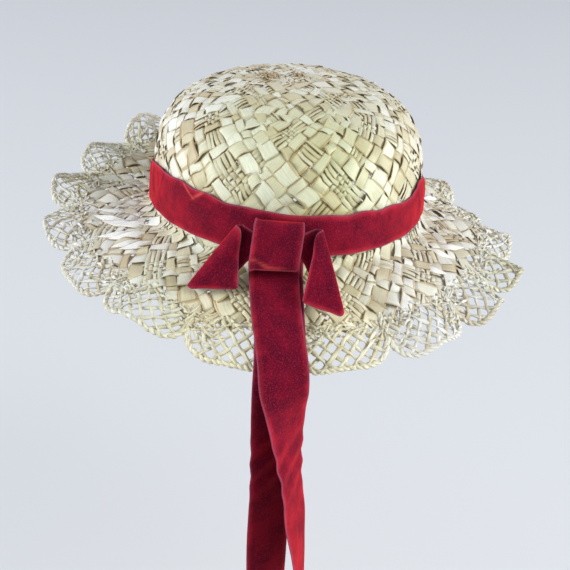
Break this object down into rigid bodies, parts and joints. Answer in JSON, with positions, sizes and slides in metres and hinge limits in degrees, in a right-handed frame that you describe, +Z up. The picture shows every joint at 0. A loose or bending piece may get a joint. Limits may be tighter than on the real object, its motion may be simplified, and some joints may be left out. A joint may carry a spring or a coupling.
{
  "type": "straw hat with scalloped brim and ribbon bow",
  "caption": "Round-crowned woven straw hat with a drooping, scalloped openwork brim, a velvet ribbon round the crown and a flat bow with long streamers at the back.",
  "frame": {"origin": "centre of the head opening, in the plane where the crown meets the brim", "axes": "+Z up through the crown; the bow is at -Y, at the back of the head, and the wearer looks along +Y; +X is the wearer's right"},
  "size_m": [0.296, 0.3338, 0.2591],
  "materials": {
    "straw": "flat straw strips, woven, with a low natural sheen",
    "straw_lace": "thin twisted straw strands, matte",
    "velvet": "deep red velvet ribbon with a soft pile and a woven edge"
  },
  "bodies": {
    "root": {"crown": "straw", "brim": "straw", "scallop_01": "straw_lace", "scallop_02": "straw_lace", "scallop_03": "straw_lace", "scallop_04": "straw_lace", "scallop_05": "straw_lace", "scallop_06": "straw_lace", "scallop_07": "straw_lace", "scallop_08": "straw_lace", "scallop_09": "straw_lace", "scallop_10": "straw_lace", "scallop_11": "straw_lace", "scallop_12": "straw_lace", "scallop_13": "straw_lace", "scallop_14": "straw_lace", "scallop_15": "straw_lace", "scallop_16": "straw_lace", "scallop_17": "straw_lace", "band": "velvet", "knot": "velvet", "left_tail": "velvet", "right_tail": "velvet", "streamer_front": "velvet", "streamer_back": "velvet"}
  },
  "joints": []
}
